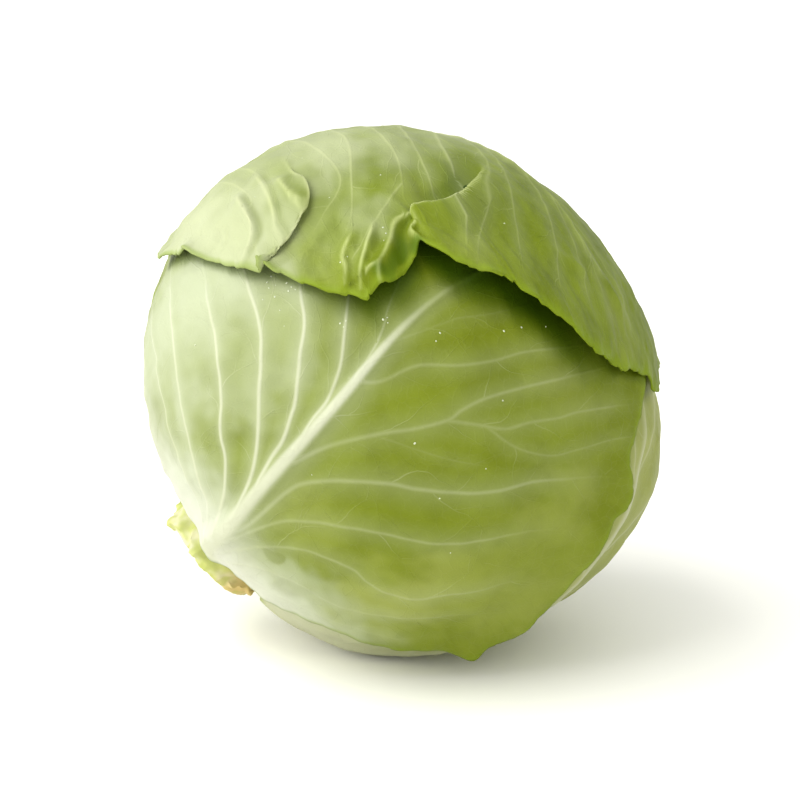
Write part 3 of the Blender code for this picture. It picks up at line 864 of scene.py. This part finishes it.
class Look:
    """A material with short ways to add and link its nodes."""

    def __init__(self, name):
        self.material = bpy.data.materials.new(name)
        self.material.use_nodes = True
        self.nodes = self.material.node_tree.nodes
        self.shader = self.nodes["Principled BSDF"]

    def fill(self, node, values):
        """Sets or links inputs. A value is a number, a colour or another node's socket."""
        for label, value in values.items():
            target = node.inputs[label]
            if isinstance(value, bpy.types.NodeSocket):
                self.material.node_tree.links.new(value, target)
            elif isinstance(value, tuple) and target.type == "RGBA":
                target.default_value = (*value, 1.0)
            else:
                target.default_value = value

    def add(self, kind, values, **settings):
        node = self.nodes.new("ShaderNode" + kind)
        for label, value in settings.items():
            setattr(node, label, value)
        self.fill(node, values)
        return node

    def attribute(self, label, output="Fac"):
        return self.add("Attribute", {}, attribute_name=label).outputs[output]

    def noise(self, place, scale, detail, rough=0.5):
        values = {"Vector": place, "Scale": scale, "Detail": detail, "Roughness": rough}
        return self.add("TexNoise", values)

    def ramp(self, source, low, high, low_value=0.0, high_value=1.0):
        values = {"Value": source, "From Min": low, "From Max": high, "To Min": low_value, "To Max": high_value}
        return self.add("MapRange", values, interpolation_type="SMOOTHSTEP").outputs["Result"]

    def mix(self, amount, first, second):
        """Mix of two colours. The node's colour sockets are 6 and 7, and 2 going out."""
        return self.add("Mix", {"Factor": amount, 6: first, 7: second}, data_type="RGBA").outputs[2]

    def math(self, operation, first, second):
        return self.add("Math", {0: first, 1: second}, operation=operation).outputs[0]

    def net(self, place, scale, width):
        """Lines between the cells of a flat net, 1 on the line."""
        cells = self.add("TexVoronoi", {"Vector": place, "Scale": scale},
                         voronoi_dimensions="2D", feature="DISTANCE_TO_EDGE")
        return self.ramp(cells.outputs["Distance"], 0.0, width, 1.0, 0.0)

    def bump(self, height, strength, distance):
        node = self.add("Bump", {"Height": height, "Strength": strength, "Distance": distance})
        self.fill(self.shader, {"Normal": node.outputs["Normal"]})


def leaf_material(name, dark, light, pale_and_lit_side, base, vein, dark_and_shade):
    look = Look(name)
    mix, ramp, math_node, attribute = look.mix, look.ramp, look.math, look.attribute
    leafmap = attribute("leafmap", "Vector")
    vein_and_highlight_tone, broad_tone, root_tone, pale_and_lit_side_tone, dark_and_shade_tone, cover_shade_tone = (
        attribute(label) for label in ("vein", "broad", "root", "pale_and_lit_side", "dark_and_shade", "painted_cover_shade"))
    # colour of the painted light places
    lit = (light[0] * 1.62, light[1] * 1.45, light[2] * 6.0)
    rim = (light[0] * 1.10, light[1] * 1.20, light[2])

    patches = look.noise(leafmap, 0.045, 3.0, 0.55).outputs["Fac"]
    cells = look.noise(leafmap, 0.16, 4.0, 0.6)
    grain = look.noise(leafmap, 1.4, 3.0, 0.6).outputs["Fac"]
    warp = look.add("VectorMath", {0: cells.outputs["Color"], 1: (5.0, 5.0, 0.0), 2: leafmap},
                    operation="MULTIPLY_ADD").outputs[0]
    net_line = look.net(warp, 0.26, 0.085)
    fine_line = look.net(warp, 0.75, 0.12)

    near = math_node("MAXIMUM", math_node("MULTIPLY", pale_and_lit_side_tone, 0.85), math_node("MULTIPLY", root_tone, 0.60))
    near = math_node("MAXIMUM", near, math_node("MULTIPLY", broad_tone, 0.65))
    # amount of painted shade: under the top leaf's lifted margin, and where the darker tints are strongest
    painted_cover_shade = math_node("MULTIPLY", cover_shade_tone, 0.86)
    painted_cover_shade = math_node("MAXIMUM", painted_cover_shade, ramp(dark_and_shade_tone, 0.50, 1.0, 0.0, 0.55))
    colour = mix(ramp(patches, 0.32, 0.70), dark, light)
    for amount, other in (
        (ramp(cells.outputs["Fac"], 0.42, 0.70, 0.0, 0.45), light),
        (math_node("MULTIPLY", net_line, 0.055), vein),
        (math_node("MULTIPLY", fine_line, 0.03), vein),
        # painted shade beside folds, ribs and under the crest, along with the leaf's own darker patches
        (math_node("MULTIPLY", dark_and_shade_tone, 0.85), dark),
        # painted light, along with the leaf's own lighter green
        (attribute("lit"), lit),
        # partly painted light on the side toward the key light, partly the leaf's own paler colour
        (pale_and_lit_side_tone, pale_and_lit_side),
        (math_node("MULTIPLY", broad_tone, 0.30), pale_and_lit_side),
        (math_node("MULTIPLY", root_tone, 0.92), base),
        # rib colour, which also paints the highlights along the folds and crests of the top leaf
        (ramp(vein_and_highlight_tone, 0.02, 1.0, 0.0, 0.92), mix(near, vein, base)),
        (math_node("MULTIPLY", attribute("rim"), 0.55), rim),
        # painted shade under the top leaf's lifted margin: toward the dark green, then toward the green of painted
        # shade
        (ramp(cover_shade_tone, 0.04, 0.85, 0.0, 0.80), dark),
        (painted_cover_shade, dark_and_shade),
    ):
        colour = mix(amount, colour, other)

    relief = math_node("ADD", math_node("MULTIPLY", net_line, 0.10), math_node("MULTIPLY", grain, 0.10))
    relief = math_node("ADD", relief, math_node("MULTIPLY", cells.outputs["Fac"], 0.55))
    look.bump(relief, 0.55, 0.0007)
    look.fill(look.shader, {"Base Color": colour, "Roughness": 0.44, "Specular IOR Level": 0.09})
    through = look.add("BsdfTranslucent", {"Color": colour})
    blend = look.add("MixShader", {
        "Fac": TRANSLUCENT, 1: look.shader.outputs["BSDF"], 2: through.outputs["BSDF"]})
    look.fill(look.nodes["Material Output"], {"Surface": blend.outputs["Shader"]})
    return look.material


def bake_modifiers(thing):
    """Puts the mesh that the modifiers make in place of the thing's own."""
    graph = bpy.context.evaluated_depsgraph_get()
    done = bpy.data.meshes.new_from_object(thing.evaluated_get(graph))
    thing.modifiers.clear()
    thing.data = done
    return done


def join_pieces(main, extra):
    bake_modifiers(main)
    bpy.ops.object.select_all(action="DESELECT")
    extra.select_set(True)
    main.select_set(True)
    bpy.context.view_layer.objects.active = main
    bpy.ops.object.join()


leaves = {}
# Colours of each leaf: dark, light, pale (also painting the key light on the side toward it), base, vein (also
# painting highlights along folds and crests) and deep (the green of painted shade)
leaf_looks = {
    "back_leaf": ((0.180, 0.222, 0.015), (0.250, 0.298, 0.035), (0.450, 0.490, 0.240),
                  (0.590, 0.620, 0.440), (0.400, 0.440, 0.180), (0.050, 0.080, 0.004)),
    "side_leaf": ((0.270, 0.305, 0.060), (0.345, 0.380, 0.090), (0.500, 0.520, 0.280),
                  (0.580, 0.595, 0.420), (0.460, 0.480, 0.230), (0.080, 0.110, 0.006)),
    "front_leaf": ((0.154, 0.196, 0.004), (0.200, 0.252, 0.013), (0.515, 0.560, 0.385),
                   (0.700, 0.710, 0.620), (0.425, 0.470, 0.180), (0.020, 0.060, 0.0004)),
    "top_leaf": ((0.136, 0.184, 0.004), (0.204, 0.266, 0.014), (0.500, 0.540, 0.330),
                 (0.580, 0.600, 0.410), (0.480, 0.545, 0.190), (0.034, 0.096, 0.0005)),
}

for index, name in enumerate(leaf_looks):
    leaves[name] = Leaf(name, 11 + 7 * index)
for index, (name, leaf) in enumerate(leaves.items()):
    piece = leaf_sheet(leaf)
    join_pieces(piece, vein_strips(leaf, small_veins(leaf, 100 + index)))
    piece.data.materials.clear()
    piece.data.materials.append(leaf_material(name + "_look", *leaf_looks[name]))
    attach(piece, "root")
    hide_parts(name)


def waves3(points, seed, size, count=9):
    """Smooth random waves in space, about -1 to 1."""
    rng = np.random.default_rng(seed)
    total = np.zeros(len(points))
    for _ in range(count):
        way = rng.normal(size=3)
        way /= np.linalg.norm(way)
        total += np.sin(points @ way * 6.283 * rng.uniform(0.7, 1.5) / size + rng.uniform(0.0, 6.283))
    return total / math.sqrt(count)


def stem_point(depth, reach, around):
    out = math.cos(around) * FRONT_WAY + math.sin(around) * TOP_WAY
    spot = depth * STEM_WAY + reach * out
    return Vector((spot[0], spot[1], spot[2] + CENTRE_HEIGHT))


def make_stem():
    """Stem butt with a cut face and the broken bases of the removed leaves."""
    bm = bmesh.new()
    rings, segments = 22, 72
    for ring in range(rings + 1):
        share = ring / rings
        for i in range(segments):
            around = 2.0 * math.pi * i / segments
            lump = 1.0 + 0.05 * math.cos(3.0 * around + 0.6) + 0.03 * math.cos(5.0 * around)
            grow = 0.62 + 0.38 * float(smooth(share * 1.6))
            girth = STEM_RADIUS * lump * grow * (0.985 - 0.05 * float(smooth((share - 0.88) / 0.12)))
            bm.verts.new(stem_point(STEM_ROOT + (STEM_FACE - 0.0006 - STEM_ROOT) * share, girth, around))
    bm.verts.ensure_lookup_table()
    for ring in range(rings):
        for i in range(segments):
            a = ring * segments + i
            c = ring * segments + (i + 1) % segments
            bm.faces.new([bm.verts[a], bm.verts[c], bm.verts[c + segments], bm.verts[a + segments]])
    bm.faces.new([bm.verts[i] for i in reversed(range(segments))])
    bm.faces.new([bm.verts[rings * segments + i] for i in range(segments)])
    for i in range(STALK_COUNT):
        around = math.radians(20.0 + i * 360.0 / STALK_COUNT + 7.0 * math.sin(i * 2.4))
        length = 0.0062 + 0.0024 * math.sin(i * 1.7 + 0.4)
        half = 0.0066 + 0.0012 * math.cos(i * 2.1)
        chip = bmesh.new()
        bmesh.ops.create_cube(chip, size=2.0)
        bmesh.ops.subdivide_edges(chip, edges=chip.edges[:], cuts=5, use_grid_fill=True)
        for vertex in chip.verts:
            x, y, z = vertex.co
            round_off = 1.0 - 0.22 * (abs(x) ** 3)
            up = max(z, 0.0)
            ragged = (0.0011 * math.sin(4.0 * x + i) + 0.0006 * math.sin(9.0 * x + 2.0 * i)) * up
            depth = STEM_FACE - 0.0090 + length * 0.5 * (z + 1.0) + ragged - 0.0010 * abs(x) ** 3 * up
            sideways = half * x * (1.0 - 0.16 * up)
            reach = STEM_RADIUS - 0.0021 + 0.0020 * y * round_off + 0.0015 * up - 0.0016 * x * x
            out = math.cos(around) * FRONT_WAY + math.sin(around) * TOP_WAY
            cross = -math.sin(around) * FRONT_WAY + math.cos(around) * TOP_WAY
            spot = depth * STEM_WAY + reach * out + sideways * cross
            vertex.co = Vector((spot[0], spot[1], spot[2] + CENTRE_HEIGHT))
        loose = bpy.data.meshes.new("stalk")
        chip.to_mesh(loose)
        chip.free()
        bm.from_mesh(loose)
        bpy.data.meshes.remove(loose)
    bmesh.ops.recalc_face_normals(bm, faces=bm.faces[:])
    mesh = bpy.data.meshes.new("stem_fine")
    bm.to_mesh(mesh)
    bm.free()
    thing = add_object("stem_fine", mesh)
    blend = thing.modifiers.new("blend", "REMESH")
    blend.mode = "VOXEL"
    blend.voxel_size = STEM_VOXEL
    even = thing.modifiers.new("even", "SMOOTH")
    even.factor = 0.5
    even.iterations = 5
    done = bake_modifiers(thing)
    spots = read_vectors(done.vertices, "co")
    normals = read_vectors(done.vertices, "normal")
    offset = spots - np.array([0.0, 0.0, CENTRE_HEIGHT])
    depth = offset @ STEM_WAY
    radial = offset - depth[:, None] * STEM_WAY
    reach = np.linalg.norm(radial, axis=1)
    around = np.arctan2(radial @ TOP_WAY, radial @ FRONT_WAY)
    lumps = 0.00040 * waves3(spots, 3, 0.0090) + 0.00018 * waves3(spots, 4, 0.0040)
    face = smooth((depth - STEM_FACE + 0.0022) / 0.0012) * smooth((STEM_RADIUS * 0.95 - reach) / 0.002)
    fibres = 0.00006 * np.sin(around * 46.0 + 3.0 * np.sin(reach * 900.0)) * smooth((depth - 0.060) / 0.01)
    dip = -0.0012 * face * smooth((0.0150 - reach) / 0.0110)
    rings_cut = 0.00010 * face * np.sin(reach * 3300.0 + 1.4 * np.sin(around * 3.0))
    spots += normals * (lumps * (1.0 - 0.6 * face) + fibres * (1.0 - face) + dip + rings_cut)[:, None]
    done.vertices.foreach_set("co", spots.astype(np.float32).ravel())
    set_floats(done, "cut", face)
    set_floats(done, "tip", smooth((depth - 0.0805) / 0.0035) * (1.0 - face))
    set_floats(done, "pith", face * smooth((0.0115 - reach) / 0.004))
    brown = bell(turned(np.degrees(around), -52.0) / 38.0)
    set_floats(done, "tan", brown * smooth((depth - 0.066) / 0.006) * (1.0 - face))
    done.shade_smooth()
    return thing


def stem_material():
    look = Look("stem_look")
    place = look.add("TexCoord", {}).outputs["Object"]
    coarse = look.noise(place, 110.0, 2.0).outputs["Fac"]
    fine = look.noise(place, 500.0, 3.0).outputs["Fac"]
    colour = (0.43, 0.47, 0.13)
    for amount, other in (
        (look.ramp(coarse, 0.40, 0.60), (0.62, 0.60, 0.40)),
        (look.ramp(fine, 0.56, 0.80, 0.0, 0.25), (0.60, 0.52, 0.20)),
        (look.ramp(look.attribute("tip"), 0.0, 1.0, 0.0, 0.7), (0.44, 0.48, 0.10)),
        (look.attribute("cut"), (0.66, 0.62, 0.38)),
        (look.attribute("pith"), (0.74, 0.72, 0.52)),
        (look.ramp(look.attribute("tan"), 0.05, 0.9, 0.0, 0.85), (0.60, 0.43, 0.15)),
        (look.ramp(coarse, 0.52, 0.63, 0.0, 0.72), (0.38, 0.40, 0.07)),
    ):
        colour = look.mix(amount, colour, other)
    look.bump(fine, 0.25, 0.0004)
    look.fill(look.shader, {"Base Color": colour, "Roughness": 0.55, "Specular IOR Level": 0.3})
    return look.material


stem = make_stem()
stem.data.materials.clear()
stem.data.materials.append(stem_material())
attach(stem, "root")
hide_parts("stem")

# Drops of water: side, along in leaf degrees, and size
DEW = {
    "front_leaf": """
        29.1,-2.1,0.5 27.7,-2.5,0.4 29.6,-0.7,0.45 27.1,-1,0.35 25.7,1.1,0.55 24.2,1.4,0.45 23.1,1.7,0.4
        24,0.4,0.6 26.5,-5,0.35 25.1,-2.6,0.5 22,-3.4,0.35 11.1,4.5,0.5 10,4.6,0.4 10.7,5.7,0.45
        6.3,11.6,0.6 6.1,12.5,0.4 5.2,11.9,0.35 -16.7,0.5,0.6 -3,18.7,0.5 -3.8,17,0.4 -11,30.3,0.55
        -12.8,34.1,0.5 -16.2,39.4,0.4 32.1,-24.5,0.5 18.7,-4.7,0.3 -28.7,-3.3,0.4 -30.5,8,0.35 -22,20,0.45
        -40,-10,0.35 -8,-20,0.3""",
    "top_leaf": """
        -75.5,37.8,0.5 -77.2,38.5,0.45 -79,37.8,0.4 -58,36.8,0.4 -49.4,17,0.35 -84.6,24.8,0.5 -83,27,0.35
        -66,24,0.3 -45,60,0.35 -52,70,0.4 -20,40,0.4 5,20,0.45 24,50,0.4 -60,5,0.35""",
}


def dew_drops(leaf, drops):
    """Small beads of water that sit on a leaf."""
    rng = random.Random(21)
    bm = bmesh.new()
    for x, y, radius in read_points(drops):
        around = np.array([x, x + 0.2, x])
        along = np.array([y, y, y + 0.2])
        spot, _, _ = leaf.surface(around, along)
        first = Vector(spot[1] - spot[0]).normalized()
        up = first.cross(Vector(spot[2] - spot[0])).normalized()
        middle = Vector(spot[0])
        if up.dot(middle - Vector((0.0, 0.0, CENTRE_HEIGHT))) < 0.0:
            up = -up
        second = up.cross(first)
        made = bmesh.ops.create_icosphere(bm, subdivisions=3, radius=1.0)["verts"]
        size = radius * DEW_RADIUS
        stretch = rng.uniform(0.85, 1.2)
        for vertex in made:
            a, b, c = vertex.co
            c = c if c > 0.0 else c * 0.25
            vertex.co = middle + first * a * size * stretch + second * b * size / stretch + up * c * size * 0.62
    mesh = bpy.data.meshes.new(leaf.name + "_dew")
    bm.to_mesh(mesh)
    bm.free()
    mesh.shade_smooth()
    return add_object(leaf.name + "_dew", mesh)


def dew_material():
    look = Look("dew_glint_look")
    # the drops' pale colour, on drops only partly clear, paints their bright glints
    look.fill(look.shader, {
        "Base Color": (0.82, 0.88, 0.62), "Roughness": 0.08, "IOR": 1.33, "Transmission Weight": 0.40})
    return look.material


dew_glint_look = dew_material()
for name, drops in DEW.items():
    beads = dew_drops(leaves[name], drops)
    beads.data.materials.append(dew_glint_look)
    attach(beads, "root")


def heart_material():
    look = Look("heart_look")
    place = look.add("TexCoord", {}).outputs["Object"]
    cells = look.noise(place, 45.0, 4.0).outputs["Fac"]
    ramp = look.add("ValToRGB", {"Fac": cells})
    ends = ((0.38, (0.46, 0.52, 0.16, 1.0)), (0.66, (0.68, 0.70, 0.36, 1.0)))
    for stop, (position, colour) in zip(ramp.color_ramp.elements, ends):
        stop.position = position
        stop.color = colour
    look.bump(cells, 0.4, 0.0008)
    look.fill(look.shader, {"Base Color": ramp.outputs["Color"], "Roughness": 0.5})
    return look.material


heart_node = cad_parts["heart"]
heart_node.data.materials.clear()
heart_node.data.materials.append(heart_material())

# Floor, lights, camera
bpy.ops.mesh.primitive_plane_add(size=8.0, location=(0.0, 0.0, 0.0))
floor = bpy.context.active_object
floor.name = "floor"
floor_look = Look("floor_look")
floor_look.fill(floor_look.shader, {"Base Color": (0.94, 0.935, 0.88), "Roughness": 0.8})
floor.data.materials.append(floor_look.material)

world = bpy.data.worlds.new("sky")
bpy.context.scene.world = world
world.use_nodes = True
background = world.node_tree.nodes["Background"]
background.inputs["Color"].default_value = (1.0, 1.0, 1.0, 1.0)
background.inputs["Strength"].default_value = 0.98


def area_light(name, location, target, size, energy, colour=(1.0, 1.0, 1.0)):
    data = bpy.data.lights.new(name, "AREA")
    data.shape = "SQUARE"
    data.size = size
    data.energy = energy
    data.color = colour
    thing = add_object(name, data)
    thing.location = location
    way = Vector(target) - Vector(location)
    thing.rotation_euler = way.to_track_quat("-Z", "Y").to_euler()


area_light("key", (-1.06, -0.34, 1.14), (0.0, 0.0, 0.08), 2.0, 37.0, (1.0, 0.99, 0.97))
area_light("front_fill", (0.2, -1.5, 1.0), (0.0, 0.0, 0.08), 1.3, 4.0)
bpy.context.scene.view_settings.view_transform = "Standard"

CAMERA_LIFT = math.radians(15.0)
eye_way = Vector((0.0, -math.cos(CAMERA_LIFT), math.sin(CAMERA_LIFT)))
up_way = Vector((0.0, math.sin(CAMERA_LIFT), math.cos(CAMERA_LIFT)))
target = Vector((0.0003, 0.0, CENTRE_HEIGHT)) - up_way * 0.0029
camera_data = bpy.data.cameras.new("camera")
camera = add_object("camera", camera_data)
camera.location = target + eye_way
camera.rotation_euler = (-eye_way).to_track_quat("-Z", "Y").to_euler()
camera_data.sensor_width = 36.0
camera_data.lens = camera_data.sensor_width / VIEW_WIDTH
bpy.context.scene.camera = camera
